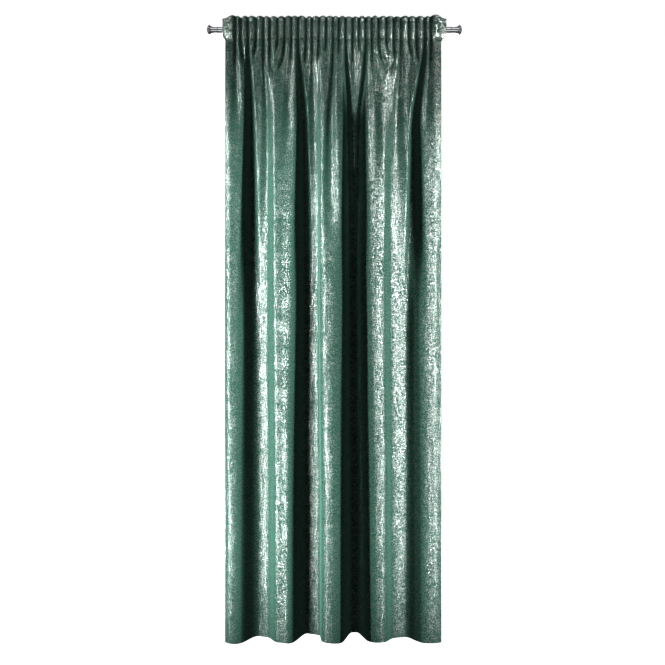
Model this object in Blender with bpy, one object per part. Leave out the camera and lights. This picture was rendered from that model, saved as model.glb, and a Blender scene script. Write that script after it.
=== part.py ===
"""Velvet curtain gathered on a chrome rod, in the shape in which it hangs.

Blender 4.5, metres, +Z up. The origin is on the rod's axis, midway between its
ends. +X runs along the rod and -Y is the side that faces the room. The cloth is
one closed solid: a single sheet from the hem to the lower cord row, where its
turned-over top runs round behind the rod and back to the heading.
"""

import math
from typing import NamedTuple

import bmesh
import bpy
import numpy as np

# Sizes of the cloth
MM = 0.001
CLOTH_THICKNESS = 2 * MM
FINISHED_DROP = 2500 * MM
TOP_EDGE = 44.5 * MM
HEM = TOP_EDGE - FINISHED_DROP
CORNER_RISE = 4 * MM
CORNER_WIDTH = 34 * MM

# The end of the heading turns away from the room over this width
RETURN_WIDTH = 43 * MM
RETURN_DEPTH = 19 * MM
RETURN_ENDS = -60 * MM

# Gathers are full down to the lower cord row and open out below it
GATHER_DEPTH = 20 * MM
GATHER_HALF_WIDTH = 12.5 * MM
GATHER_SPREAD = 0.036
GATHER_SETTLES = 120 * MM
GATHER_DRIFTS = 350 * MM
GATHER_HOLDS = 0.45
LOWER_CORD = -49.5 * MM

# Rod and finials
ROD_RADIUS = 11 * MM
ROD_HALF_LENGTH = 468.5 * MM
PIECE_GAP = 0.3 * MM
FINIAL_LENGTH = 46 * MM
ROUND_STEPS = 32

# The pocket that the turned-over top makes round the rod
POCKET_CLEARANCE = 3 * MM
POCKET_FULLNESS = 6 * MM
POCKET_ANGLES = (125, 90, 60, 25, -10)
POCKET_FLOOR = -43.5 * MM
POCKET_CEILING = 19 * MM
POCKET_WALL_HEIGHTS = (-29 * MM,)
UPPER_SEAM = 23 * MM

# Heights of the mesh's rows, dense where the cloth is gathered
BODY_HEIGHTS = (HEM, -2.32, -2.1, -1.85, -1.6, -1.38, -1.18, -1.0, -0.84, -0.7, -0.58)
GATHERED_HEIGHTS = (-0.47, -0.37, -0.29, -0.215, -0.15, -0.1, -0.068, LOWER_CORD)
COLUMNS_PER_GATHER = 4
COLUMNS_PER_RETURN = 4
COLUMNS_FOLLOW_DOWN_TO = -470 * MM
COLUMNS_SPREAD_OUT = 900 * MM
HEM_SAMPLES = 2000
SLOPE_STEP = 0.5 * MM


class Level(NamedTuple):
    """How the cloth hangs at one height, in millimetres but for the share."""

    height: float
    front: float
    folds: float
    left: float
    right: float


LEVELS = (
    Level(height=44.5, front=-34, folds=0.0, left=-450, right=450),
    Level(height=29, front=-36, folds=0.0, left=-450, right=450),
    Level(height=-27, front=-36, folds=0.0, left=-449, right=447),
    Level(height=-49.5, front=-36, folds=0.02, left=-438, right=430),
    Level(height=-60, front=-37, folds=0.03, left=-436, right=426),
    Level(height=-130, front=-42, folds=0.12, left=-436, right=426),
    Level(height=-290, front=-47, folds=0.34, left=-436, right=426),
    Level(height=-570, front=-53, folds=0.6, left=-436, right=426),
    Level(height=-1090, front=-60, folds=0.85, left=-436, right=426),
    Level(height=-1690, front=-64, folds=0.96, left=-436, right=426),
    Level(height=-2455.5, front=-65, folds=1.0, left=-436, right=426),
)


class Fold(NamedTuple):
    """One ridge or valley of the deep folds at the hem, in millimetres."""

    at: float
    depth: float
    flat: float


HEM_FOLDS = (
    Fold(at=-435, depth=20, flat=2),
    Fold(at=-404, depth=2, flat=20),
    Fold(at=-300, depth=89, flat=16),
    Fold(at=-190, depth=2, flat=16),
    Fold(at=-92, depth=122, flat=33),
    Fold(at=-12, depth=3, flat=51),
    Fold(at=81, depth=133, flat=16),
    Fold(at=175, depth=12, flat=64),
    Fold(at=277, depth=68, flat=37),
    Fold(at=383, depth=10, flat=28),
    Fold(at=425, depth=36, flat=2),
)


class Gather(NamedTuple):
    """One valley between two gathers, in millimetres.

    It is at "at" in the heading and drifts to "low" below it, has "depth" where
    it has left the heading, and has died out "runs" below the lower cord row.
    """

    at: float
    low: float
    depth: float
    runs: float


GATHERS = (
    Gather(at=-397, low=-386, depth=18, runs=850),
    Gather(at=-374, low=-354, depth=14, runs=150),
    Gather(at=-346, low=-340, depth=34, runs=1350),
    Gather(at=-314, low=-326, depth=14, runs=90),
    Gather(at=-284, low=-266, depth=24, runs=900),
    Gather(at=-258, low=-256, depth=16, runs=120),
    Gather(at=-228, low=-234, depth=12, runs=60),
    Gather(at=-199, low=-218, depth=15, runs=170),
    Gather(at=-172, low=-186, depth=12, runs=560),
    Gather(at=-146, low=-124, depth=33, runs=1350),
    Gather(at=-114, low=-118, depth=14, runs=130),
    Gather(at=-90, low=-82, depth=20, runs=850),
    Gather(at=-62, low=-62, depth=14, runs=100),
    Gather(at=-34, low=-38, depth=12, runs=70),
    Gather(at=-6, low=-20, depth=28, runs=1150),
    Gather(at=18, low=14, depth=12, runs=90),
    Gather(at=44, low=42, depth=30, runs=1350),
    Gather(at=72, low=70, depth=14, runs=220),
    Gather(at=98, low=102, depth=12, runs=60),
    Gather(at=124, low=100, depth=32, runs=1350),
    Gather(at=149, low=162, depth=14, runs=650),
    Gather(at=176, low=200, depth=15, runs=170),
    Gather(at=208, low=214, depth=12, runs=60),
    Gather(at=238, low=240, depth=16, runs=100),
    Gather(at=266, low=246, depth=24, runs=900),
    Gather(at=298, low=310, depth=14, runs=90),
    Gather(at=328, low=338, depth=14, runs=150),
    Gather(at=360, low=320, depth=34, runs=1350),
    Gather(at=384, low=366, depth=20, runs=750),
)


class Turning(NamedTuple):
    """One ring of a turned profile, in millimetres from the rod's end."""

    along: float
    radius: float


FINIAL_PROFILE = (
    Turning(along=0, radius=11.5),
    Turning(along=3.5, radius=11.5),
    Turning(along=4.5, radius=10.3),
    Turning(along=14, radius=10.4),
    Turning(along=21, radius=11.3),
    Turning(along=27, radius=13.3),
    Turning(along=32, radius=16.6),
    Turning(along=35.5, radius=19.2),
    Turning(along=37, radius=19.2),
    Turning(along=40.5, radius=15.5),
    Turning(along=43.5, radius=9.5),
)


def ease(share):
    """A share held between 0 and 1, with soft ends."""
    share = np.clip(share, 0, 1)
    return share * share * (3 - 2 * share)


def bell(offset):
    """A round bump: 1 in the middle, 0 from one half-width outwards."""
    return np.cos(np.clip(offset, -1, 1) * math.pi / 2) ** 2


def curve_through(knots, values):
    """A smooth curve through the points that never overshoots them."""
    knots = np.asarray(knots, float)
    values = np.asarray(values, float)
    widths = np.diff(knots)
    slopes = np.diff(values) / widths
    before, after = slopes[:-1], slopes[1:]
    rising = before * after > 0
    total = np.where(rising, before + after, 1)
    tangents = np.zeros(len(knots))
    tangents[1:-1] = np.where(rising, 2 * before * after / total, 0)

    def height_at(place):
        place = np.clip(place, knots[0], knots[-1])
        k = np.clip(np.searchsorted(knots, place) - 1, 0, len(widths) - 1)
        t = (place - knots[k]) / widths[k]
        ends = (1 + 2 * t) * (1 - t) ** 2 * values[k] + t**2 * (3 - 2 * t) * values[k + 1]
        lean = t * (1 - t) ** 2 * tangents[k] - t**2 * (1 - t) * tangents[k + 1]
        return ends + lean * widths[k]

    return height_at


def level_curve(column, unit):
    """One column of LEVELS as a curve over the height."""
    rising = sorted(LEVELS)
    heights = [level.height * MM for level in rising]
    return curve_through(heights, [getattr(level, column) * unit for level in rising])


def hem_fold_curve():
    """The depth of the hem's folds behind its foremost ridge, across the cloth."""
    knots = []
    values = []
    for fold in HEM_FOLDS:
        knots += [(fold.at - fold.flat / 2) * MM, (fold.at + fold.flat / 2) * MM]
        values += [fold.depth * MM] * 2
    return curve_through(knots, values)


front_at = level_curve("front", MM)
fold_share_at = level_curve("folds", 1)
left_at = level_curve("left", MM)
right_at = level_curve("right", MM)
hem_fold_at = hem_fold_curve()


def valley_centre(gather, height):
    """Where one valley is across the cloth."""
    below = np.maximum(LOWER_CORD - height, 0)
    drift = ease(below / min(GATHER_DRIFTS, gather.runs * MM))
    return (gather.at + (gather.low - gather.at) * drift) * MM


def gather_valley(gather, across, height):
    """How far one valley sets the cloth back."""
    below = np.maximum(LOWER_CORD - height, 0)
    runs = gather.runs * MM
    settled = ease(below / min(GATHER_SETTLES, runs))
    depth = GATHER_DEPTH + (gather.depth * MM - GATHER_DEPTH) * settled
    fading = ease((below / runs - GATHER_HOLDS) / (1 - GATHER_HOLDS))
    width = GATHER_HALF_WIDTH + GATHER_SPREAD * below
    return depth * (1 - fading) * bell((across - valley_centre(gather, height)) / width)


def end_return(across, height):
    """How far the two ends of the heading turn back towards the rod."""
    share = 1 - ease((height - LOWER_CORD) / (RETURN_ENDS - LOWER_CORD))
    from_end = np.minimum(across - left_at(height), right_at(height) - across)
    return RETURN_DEPTH * share * ease(1 - from_end / RETURN_WIDTH)


def cloth_y(across, height):
    """Where the middle of the cloth lies, from the room side backwards."""
    y = front_at(height) + fold_share_at(height) * hem_fold_at(across)
    for gather in GATHERS:
        y = y + gather_valley(gather, across, height)
    return y + end_return(across, height)


def cloth_points(height, side, every=1):
    """One row of points on a face of the sheet: side 1 faces the room, -1 the wall."""
    rows = []
    for place in (height - SLOPE_STEP, height, height + SLOPE_STEP):
        across = columns_at(place)[::every]
        rows.append(np.stack([across, cloth_y(across, place), np.full(len(across), place)], axis=1))
    normals = np.cross(rows[2] - rows[0], np.gradient(rows[1], axis=0))
    normals /= np.linalg.norm(normals, axis=1)[:, None]
    return rows[1] - side * CLOTH_THICKNESS / 2 * normals


def pocket_points(across, angle, side):
    """Points of the turned-over top where it passes round the rod.

    The angle runs from straight above the rod backwards; side 1 faces the wall.
    """
    valley = cloth_y(across, np.zeros(len(across))) - front_at(0.0)
    ridge = 1 - np.clip(valley / GATHER_DEPTH, 0, 1)
    radius = ROD_RADIUS + POCKET_CLEARANCE + CLOTH_THICKNESS / 2 * (1 + side)
    radius = radius + POCKET_FULLNESS * ridge
    turn = math.radians(angle)
    return np.stack([across, radius * math.sin(turn), radius * math.cos(turn)], axis=1)


def heading_columns():
    """Places across the heading: on each valley, on each ridge and between them."""
    valleys = [gather.at * MM for gather in GATHERS]
    columns = list(np.linspace(left_at(0.0), valleys[0], COLUMNS_PER_RETURN + 1)[:-1])
    for start, end in zip(valleys, valleys[1:]):
        columns += list(np.linspace(start, end, COLUMNS_PER_GATHER + 1)[:-1])
    columns += list(np.linspace(valleys[-1], right_at(0.0), COLUMNS_PER_RETURN + 1))
    return np.array(columns)


def hem_columns(count):
    """Places across the hem that are evenly spaced along the folded cloth."""
    across = np.linspace(left_at(HEM), right_at(HEM), HEM_SAMPLES)
    steps = np.hypot(np.diff(across), np.diff(cloth_y(across, HEM)))
    walked = np.concatenate([[0], np.cumsum(steps)])
    return np.interp(np.linspace(0, walked[-1], count), walked, across)


def columns_at(height):
    """The mesh's columns at one height: they follow the long valleys, then the hem's folds."""
    top = heading_columns()
    long_ones = [gather for gather in GATHERS if gather.runs * MM > GATHER_DRIFTS]
    starts = [top[0], *(gather.at * MM for gather in long_ones), top[-1]]
    places = [valley_centre(gather, height) for gather in long_ones]
    followed = np.interp(top, starts, [left_at(height), *places, right_at(height)])
    spread = ease((COLUMNS_FOLLOW_DOWN_TO - height) / COLUMNS_SPREAD_OUT)
    return followed + (hem_columns(len(top)) - followed) * spread


def sheet_row(mesh, height, side, every=1):
    """One row of vertices across a face of the sheet."""
    return [mesh.verts.new(point) for point in cloth_points(height, side, every)]


def top_row(mesh, side):
    """The row at the top edge, which rises a little where the ends turn back."""
    points = cloth_points(TOP_EDGE, side)
    reach = right_at(TOP_EDGE) - RETURN_WIDTH
    points[:, 2] += CORNER_RISE * bell((np.abs(points[:, 0]) - reach) / CORNER_WIDTH)
    return [mesh.verts.new(point) for point in points]


def pocket_row(mesh, angle, side):
    """One row of vertices across a face of the pocket."""
    points = pocket_points(columns_at(0.0), angle, side)
    return [mesh.verts.new(point) for point in points]


def skin(mesh, pair):
    """Triangles on both faces of a wall, cut along the same diagonals."""
    first, second = pair
    for row in range(len(first) - 1):
        low, high = first[row], first[row + 1]
        for k in range(len(low) - 1):
            rising = (low[k].co - high[k + 1].co).length
            falling = (low[k + 1].co - high[k].co).length
            for face in (first, second):
                ring = face[row][k], face[row][k + 1], face[row + 1][k + 1], face[row + 1][k]
                if rising < falling:
                    mesh.faces.new((ring[0], ring[1], ring[2]))
                    mesh.faces.new((ring[0], ring[2], ring[3]))
                else:
                    mesh.faces.new((ring[0], ring[1], ring[3]))
                    mesh.faces.new((ring[1], ring[2], ring[3]))


def bridge(mesh, first, second):
    """Faces between two rows along an edge of the cloth."""
    for k in range(len(first) - 1):
        mesh.faces.new((first[k], first[k + 1], second[k + 1], second[k]))


def join_double(mesh, sparse, dense):
    """Triangles between a row and one that has two columns for each of its own."""
    for k in range(len(sparse) - 1):
        above = dense[2 * k : 2 * k + 3]
        mesh.faces.new((sparse[k], above[1], above[0]))
        mesh.faces.new((sparse[k], sparse[k + 1], above[1]))
        mesh.faces.new((sparse[k + 1], above[2], above[1]))


def close_end(mesh, column, pair):
    """Faces along the cloth's side edge, between a wall's two faces."""
    first, second = pair
    for low in range(len(first) - 1):
        ring = [row[column] for row in (*first[low : low + 2], *second[low : low + 2][::-1])]
        mesh.faces.new(list(dict.fromkeys(ring)))


def make_curtain():
    """The whole curtain: body, gathers, heading and the pocket round the rod."""
    mesh = bmesh.new()
    sides = (1, -1)
    body = [[sheet_row(mesh, z, side, every=2) for z in BODY_HEIGHTS] for side in sides]
    gathered = [[sheet_row(mesh, z, side) for z in GATHERED_HEIGHTS] for side in sides]
    floor = [face[-1] for face in gathered]
    seam = [sheet_row(mesh, UPPER_SEAM, side) for side in sides]
    top = [top_row(mesh, side) for side in sides]

    front_wall = [sheet_row(mesh, z, 1) for z in POCKET_WALL_HEIGHTS]
    inside = [sheet_row(mesh, z, -1) for z in (POCKET_FLOOR, *POCKET_WALL_HEIGHTS, POCKET_CEILING)]
    back_wall = [[pocket_row(mesh, angle, side) for angle in POCKET_ANGLES] for side in sides]

    walls = (
        body,
        [[body[0][-1], gathered[0][0]], [body[1][-1], gathered[1][0]]],
        gathered,
        [[floor[0], *front_wall, seam[0]], inside],
        [[floor[1], *back_wall[0], seam[1]], [inside[0], *back_wall[1], inside[-1]]],
        [[seam[0], top[0]], [seam[1], top[1]]],
    )
    corners = (
        [[floor[0], inside[0]], [floor[1], inside[0]]],
        [[seam[0], inside[-1]], [seam[1], inside[-1]]],
    )
    for wall in walls:
        if len(wall[0][0]) == len(wall[0][-1]):
            skin(mesh, wall)
        else:
            for face in wall:
                join_double(mesh, *face)
    for column in (0, -1):
        for wall in (*walls, *corners):
            close_end(mesh, column, wall)
    bridge(mesh, body[0][0], body[1][0])
    bridge(mesh, top[0], top[1])
    bmesh.ops.recalc_face_normals(mesh, faces=mesh.faces)
    return mesh


def make_rod():
    """The rod as one round bar between its finials."""
    mesh = bmesh.new()
    bmesh.ops.create_cone(
        mesh,
        cap_ends=True,
        segments=ROUND_STEPS,
        radius1=ROD_RADIUS,
        radius2=ROD_RADIUS,
        depth=2 * ROD_HALF_LENGTH,
    )
    return mesh


def make_finial():
    """A trumpet-shaped finial with a low domed end, turned about +Z."""
    mesh = bmesh.new()
    profile = [mesh.verts.new((0, 0, 0))]
    for ring in FINIAL_PROFILE:
        profile.append(mesh.verts.new((ring.radius * MM, 0, ring.along * MM)))
    profile.append(mesh.verts.new((0, 0, FINIAL_LENGTH)))
    edges = [mesh.edges.new(pair) for pair in zip(profile, profile[1:])]
    bmesh.ops.spin(
        mesh,
        geom=profile + edges,
        axis=(0, 0, 1),
        cent=(0, 0, 0),
        angle=2 * math.pi,
        steps=ROUND_STEPS,
    )
    bmesh.ops.remove_doubles(mesh, verts=mesh.verts, dist=PIECE_GAP / 10)
    bmesh.ops.recalc_face_normals(mesh, faces=mesh.faces)
    return mesh


def make_material(name, colour, roughness, metallic):
    """A plain Principled material."""
    material = bpy.data.materials.new(name)
    material.use_nodes = True
    shader = material.node_tree.nodes["Principled BSDF"]
    shader.inputs["Base Color"].default_value = (*colour, 1)
    shader.inputs["Roughness"].default_value = roughness
    shader.inputs["Metallic"].default_value = metallic
    return material


def place(name, mesh, material, location=(0, 0, 0), rotation=(0, 0, 0), crease=40):
    """Turns a bmesh into a named object that stands in the scene."""
    data = bpy.data.meshes.new(name)
    mesh.to_mesh(data)
    mesh.free()
    data.materials.append(material)
    data.shade_smooth()
    data.set_sharp_from_angle(angle=math.radians(crease))
    piece = bpy.data.objects.new(name, data)
    piece.location = location
    piece.rotation_euler = rotation
    bpy.context.scene.collection.objects.link(piece)
    return piece


def main():
    for old in list(bpy.data.objects):
        bpy.data.objects.remove(old)
    velvet = make_material("velvet", colour=(0.02, 0.09, 0.07), roughness=0.6, metallic=0.2)
    chrome = make_material("chrome", colour=(0.6, 0.6, 0.6), roughness=0.15, metallic=1)
    quarter = math.pi / 2
    finial_start = ROD_HALF_LENGTH + PIECE_GAP
    place("curtain_panel", make_curtain(), velvet, crease=70)
    place("rod", make_rod(), chrome, rotation=(0, quarter, 0))
    place("finial_left", make_finial(), chrome, (-finial_start, 0, 0), (0, -quarter, 0))
    place("finial_right", make_finial(), chrome, (finial_start, 0, 0), (0, quarter, 0))


main()
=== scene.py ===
"""Looks of a foil-printed velvet curtain gathered on a chrome rod.

Metres, +Z up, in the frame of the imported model: the origin is on the rod's axis,
midway between its ends, +X runs along the rod and -Y faces the room.
"""

import logging
import math
from dataclasses import dataclass
from enum import Enum
from typing import Any, Callable, NamedTuple, Optional, Sequence

import bpy
import numpy as np
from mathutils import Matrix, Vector, noise


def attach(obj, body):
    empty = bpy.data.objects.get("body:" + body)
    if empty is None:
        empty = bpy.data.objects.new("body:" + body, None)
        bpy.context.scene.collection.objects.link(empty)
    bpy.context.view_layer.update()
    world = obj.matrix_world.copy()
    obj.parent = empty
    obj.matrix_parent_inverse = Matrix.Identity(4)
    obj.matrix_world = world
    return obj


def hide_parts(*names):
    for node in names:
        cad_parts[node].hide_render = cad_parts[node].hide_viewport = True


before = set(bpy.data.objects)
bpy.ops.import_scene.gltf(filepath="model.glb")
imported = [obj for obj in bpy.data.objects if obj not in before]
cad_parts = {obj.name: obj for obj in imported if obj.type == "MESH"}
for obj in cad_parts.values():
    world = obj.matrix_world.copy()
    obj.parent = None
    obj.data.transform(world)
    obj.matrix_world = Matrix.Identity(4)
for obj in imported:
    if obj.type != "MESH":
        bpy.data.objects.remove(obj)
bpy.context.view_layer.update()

MM = 0.001
BODY = "root"
Curve = Callable[[Any], Any]

# Places of the Mix node's inputs, whose names repeat, and of its mixed colour.
SHARE, VALUE_A, VALUE_B, COLOUR_A, COLOUR_B = 0, 2, 3, 6, 7
MIXED = 2

# Detail and roughness of noise, the mean of a random colour, and plain shader values.
SOFT, FINE, ROUGH = 2.0, 3.0, 0.6
MID_GREY = (0.5, 0.5, 0.5)
MATT, METAL = 1.0, 1.0

# Radians that the wave texture's bands turn through for each unit of its place.
STRAIGHT_WAVE, DIAGONAL_WAVE = 20.0, 10.0


class Level(NamedTuple):
    """How the cloth hangs at one height, in millimetres but for the share."""

    height: float
    front: float
    folds: float
    left: float
    right: float


LEVELS = (
    Level(height=44.5, front=-34, folds=0.0, left=-450, right=450),
    Level(height=29, front=-36, folds=0.0, left=-450, right=450),
    Level(height=-27, front=-36, folds=0.0, left=-449, right=447),
    Level(height=-49.5, front=-36, folds=0.02, left=-438, right=430),
    Level(height=-60, front=-37, folds=0.03, left=-436, right=426),
    Level(height=-130, front=-42, folds=0.12, left=-436, right=426),
    Level(height=-290, front=-47, folds=0.34, left=-436, right=426),
    Level(height=-570, front=-53, folds=0.6, left=-436, right=426),
    Level(height=-1090, front=-60, folds=0.85, left=-436, right=426),
    Level(height=-1690, front=-64, folds=0.96, left=-436, right=426),
    Level(height=-2455.5, front=-65, folds=1.0, left=-436, right=426),
)


class Fold(NamedTuple):
    """One point of the deep folds' outline, in millimetres.

    It is at "at" along the hem and at "high" where the folds begin.
    """

    at: float
    high: float
    depth: float


HEM_FOLDS = (
    Fold(at=-436, high=-436, depth=20),
    Fold(at=-424, high=-426, depth=9),
    Fold(at=-408, high=-414, depth=3),
    Fold(at=-392, high=-378, depth=2),
    Fold(at=-376, high=-362, depth=8),
    Fold(at=-312, high=-320, depth=89),
    Fold(at=-290, high=-294, depth=84),
    Fold(at=-268, high=-272, depth=73),
    Fold(at=-232, high=-238, depth=20),
    Fold(at=-208, high=-202, depth=12),
    Fold(at=-184, high=-160, depth=4),
    Fold(at=-170, high=-148, depth=11),
    Fold(at=-112, high=-118, depth=119),
    Fold(at=-98, high=-106, depth=113),
    Fold(at=-61, high=-66, depth=95),
    Fold(at=-52, high=-56, depth=30),
    Fold(at=-28, high=-30, depth=9),
    Fold(at=0, high=4, depth=3),
    Fold(at=18, high=32, depth=5),
    Fold(at=30, high=40, depth=18),
    Fold(at=72, high=66, depth=131),
    Fold(at=90, high=88, depth=131),
    Fold(at=134, high=108, depth=30),
    Fold(at=150, high=124, depth=18),
    Fold(at=166, high=144, depth=13),
    Fold(at=184, high=168, depth=13.5),
    Fold(at=202, high=196, depth=20),
    Fold(at=232, high=227, depth=60),
    Fold(at=262, high=264, depth=72),
    Fold(at=290, high=296, depth=76),
    Fold(at=326, high=320, depth=38),
    Fold(at=350, high=340, depth=14),
    Fold(at=362, high=352, depth=10.5),
    Fold(at=378, high=376, depth=9),
    Fold(at=394, high=398, depth=9),
    Fold(at=410, high=410, depth=13),
    Fold(at=426, high=426, depth=20),
)


class Gather(NamedTuple):
    """One valley between two gathers, in millimetres.

    It is at "at" in the heading and drifts to "low" below it, has "depth" where
    it has left the heading, and has died out "runs" below the lower cord row.
    Its half-width grows by "widens" for each metre.
    """

    at: float
    low: float
    depth: float
    runs: float
    widens: float = 52


GATHERS = (
    Gather(at=-397, low=-390, depth=14, runs=420),
    Gather(at=-374, low=-354, depth=14, runs=150),
    Gather(at=-346, low=-340, depth=60, runs=1200, widens=34),
    Gather(at=-314, low=-326, depth=14, runs=90),
    Gather(at=-284, low=-271, depth=13, runs=900, widens=34),
    Gather(at=-258, low=-256, depth=16, runs=120),
    Gather(at=-228, low=-234, depth=12, runs=60),
    Gather(at=-199, low=-218, depth=15, runs=170),
    Gather(at=-172, low=-186, depth=12, runs=560),
    Gather(at=-146, low=-128, depth=60, runs=1100, widens=36),
    Gather(at=-114, low=-118, depth=14, runs=130),
    Gather(at=-90, low=-82, depth=14, runs=700),
    Gather(at=-62, low=-62, depth=14, runs=100),
    Gather(at=-34, low=-38, depth=12, runs=70),
    Gather(at=-6, low=-15, depth=21, runs=1000, widens=45),
    Gather(at=18, low=14, depth=12, runs=90),
    Gather(at=44, low=54, depth=52, runs=1100, widens=26),
    Gather(at=72, low=70, depth=14, runs=220),
    Gather(at=98, low=102, depth=12, runs=60),
    Gather(at=124, low=104, depth=56, runs=1100, widens=26),
    Gather(at=149, low=162, depth=14, runs=650),
    Gather(at=176, low=200, depth=15, runs=170),
    Gather(at=208, low=214, depth=12, runs=60),
    Gather(at=238, low=240, depth=16, runs=100),
    Gather(at=266, low=250, depth=14, runs=750, widens=60),
    Gather(at=298, low=310, depth=14, runs=90),
    Gather(at=328, low=338, depth=14, runs=150),
    Gather(at=360, low=322, depth=60, runs=1200, widens=34),
    Gather(at=384, low=366, depth=15, runs=420),
)


class Crease(NamedTuple):
    """A soft trough between two points of the cloth, or a ridge where depth is below 0, in millimetres."""

    x: float
    z: float
    end_x: float
    end_z: float
    width: float
    depth: float


CREASES = (
    Crease(x=-264, z=-128, end_x=-240, end_z=-182, width=10, depth=10),
    Crease(x=-234, z=-184, end_x=-208, end_z=-128, width=10, depth=10),
    Crease(x=-280, z=-140, end_x=-262, end_z=-205, width=12, depth=-7),
    Crease(x=190, z=-118, end_x=214, end_z=-170, width=10, depth=10),
    Crease(x=219, z=-172, end_x=242, end_z=-124, width=10, depth=10),
    Crease(x=258, z=-140, end_x=246, end_z=-205, width=12, depth=-7),
    Crease(x=-438, z=2, end_x=-414, end_z=-26, width=7, depth=-7),
    Crease(x=436, z=4, end_x=412, end_z=-28, width=7, depth=-7),
    Crease(x=-446, z=36, end_x=-418, end_z=22, width=9, depth=-7),
    Crease(x=446, z=36, end_x=418, end_z=22, width=9, depth=-7),
    Crease(x=-321, z=-8, end_x=-306, end_z=-30, width=6, depth=-6),
    Crease(x=-155, z=-34, end_x=-141, end_z=-60, width=6, depth=-6),
    Crease(x=-69, z=-30, end_x=-56, end_z=-56, width=6, depth=-6),
    Crease(x=12, z=-36, end_x=24, end_z=-62, width=6, depth=-6),
    Crease(x=125, z=-36, end_x=112, end_z=-62, width=6, depth=-6),
    Crease(x=174, z=-24, end_x=160, end_z=-50, width=6, depth=-6),
    Crease(x=305, z=-14, end_x=291, end_z=-38, width=6, depth=-6),
)


class RowBand(NamedTuple):
    """Rows of the cloth's mesh from the last band down to "low", in millimetres."""

    low: float
    step: float


ROW_BANDS = (
    RowBand(low=-64, step=3.0),
    RowBand(low=-130, step=5.5),
    RowBand(low=-300, step=12),
    RowBand(low=-700, step=22),
    RowBand(low=-2395, step=34),
    RowBand(low=-2447, step=13),
    RowBand(low=-2455.5, step=4.25),
)


class Turning(NamedTuple):
    """One ring of a turned profile, in millimetres from the rod's end."""

    along: float
    radius: float


FINIAL_PROFILE = (
    Turning(along=0, radius=10.6),
    Turning(along=0.4, radius=11.4),
    Turning(along=1.0, radius=11.7),
    Turning(along=2.8, radius=11.7),
    Turning(along=3.4, radius=11.3),
    Turning(along=4.2, radius=10.5),
    Turning(along=6, radius=10.3),
    Turning(along=10, radius=10.2),
    Turning(along=14, radius=10.4),
    Turning(along=18, radius=10.8),
    Turning(along=21, radius=11.3),
    Turning(along=24, radius=12.1),
    Turning(along=27, radius=13.3),
    Turning(along=30, radius=15.1),
    Turning(along=32.5, radius=17.0),
    Turning(along=34.4, radius=18.5),
    Turning(along=35.4, radius=19.1),
    Turning(along=36.3, radius=19.3),
    Turning(along=37.1, radius=19.0),
    Turning(along=37.5, radius=18.2),
    Turning(along=38.0, radius=17.5),
    Turning(along=39.4, radius=16.4),
    Turning(along=41.2, radius=14.2),
    Turning(along=42.8, radius=11.2),
    Turning(along=44.2, radius=7.4),
    Turning(along=45.1, radius=3.6),
)


class Lumps(NamedTuple):
    """A layer of soft unevenness of the cloth, its lumps' size in metres.

    It adds up to "amount", which is in metres too, or a share.
    """

    amount: float
    across: float
    along: float
    seed: float


class Lamp(NamedTuple):
    """What tells one of the studio's lights from its like: metres, watts and degrees.

    It hangs at "height" and is aimed at the height "aim". With "gloss_only" it
    makes only glossy surfaces shine, such as the foil.
    """

    name: str
    height: float
    power: float
    aim: float = 0.03
    spread: float = 22
    gloss_only: bool = False


SMALL_LIGHTS = (
    Lamp(name="upper", height=0.35, power=0.05),
    Lamp(name="lower", height=-0.55, power=0.05),
    Lamp(name="glint_upper", height=0.25, power=0.42, gloss_only=True),
    Lamp(name="glint_lower", height=-0.45, power=0.45, gloss_only=True),
    Lamp(name="glint_drop", height=-0.2, power=0.42, aim=-0.36, spread=40, gloss_only=True),
)
CHROME_LIGHTS = (
    Lamp(name="chrome_upper", height=0.8, power=8.0, aim=0, spread=180),
    Lamp(name="chrome_lower", height=-0.9, power=6.5, aim=0, spread=180),
)


class Side(Enum):
    """An end of the rod, as the sign of its X."""

    LEFT = -1
    RIGHT = 1


class Spot(Enum):
    """The place of a face of the cloth's mesh among its materials."""

    PRINTED = 0
    REVERSE = 1


def ease(share: Any) -> Any:
    """Returns a share held between 0 and 1, with soft ends."""
    share = np.clip(share, 0, 1)
    return share * share * (3 - 2 * share)


def bell(offset: Any) -> Any:
    """Returns a round bump: 1 in the middle, 0 from one half-width outwards."""
    return np.cos(np.clip(offset, -1, 1) * math.pi / 2) ** 2


def curve_through(knots: Sequence[float], values: Sequence[float]) -> Curve:
    """Makes a smooth curve through points that never overshoots them.

    Args:
        knots: Places of the points, rising.
        values: The curve's height at each place.

    Returns:
        A function of the place.
    """
    knots = np.asarray(knots, float)
    values = np.asarray(values, float)
    widths = np.diff(knots)
    slopes = np.diff(values) / widths
    before, after = slopes[:-1], slopes[1:]
    rising = before * after > 0
    total = np.where(rising, before + after, 1)
    tangents = np.zeros(len(knots))
    tangents[1:-1] = np.where(rising, 2 * before * after / total, 0)

    def height_at(place: Any) -> Any:
        """Returns the curve's height at a place."""
        place = np.clip(place, knots[0], knots[-1])
        k = np.clip(np.searchsorted(knots, place) - 1, 0, len(widths) - 1)
        t = (place - knots[k]) / widths[k]
        ends = (1 + 2 * t) * (1 - t) ** 2 * values[k] + t**2 * (3 - 2 * t) * values[k + 1]
        lean = t * (1 - t) ** 2 * tangents[k] - t**2 * (1 - t) * tangents[k + 1]
        return ends + lean * widths[k]

    return height_at


def level_curve(column: str, unit: float) -> Curve:
    """Returns one column of LEVELS as a curve over the height."""
    rising = sorted(LEVELS)
    heights = [row.height * MM for row in rising]
    return curve_through(heights, [getattr(row, column) * unit for row in rising])


def hem_fold_curve() -> Curve:
    """Returns the depth of the hem's folds behind its foremost ridge, across the cloth."""
    return curve_through([fold.at * MM for fold in HEM_FOLDS], [fold.depth * MM for fold in HEM_FOLDS])


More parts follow.
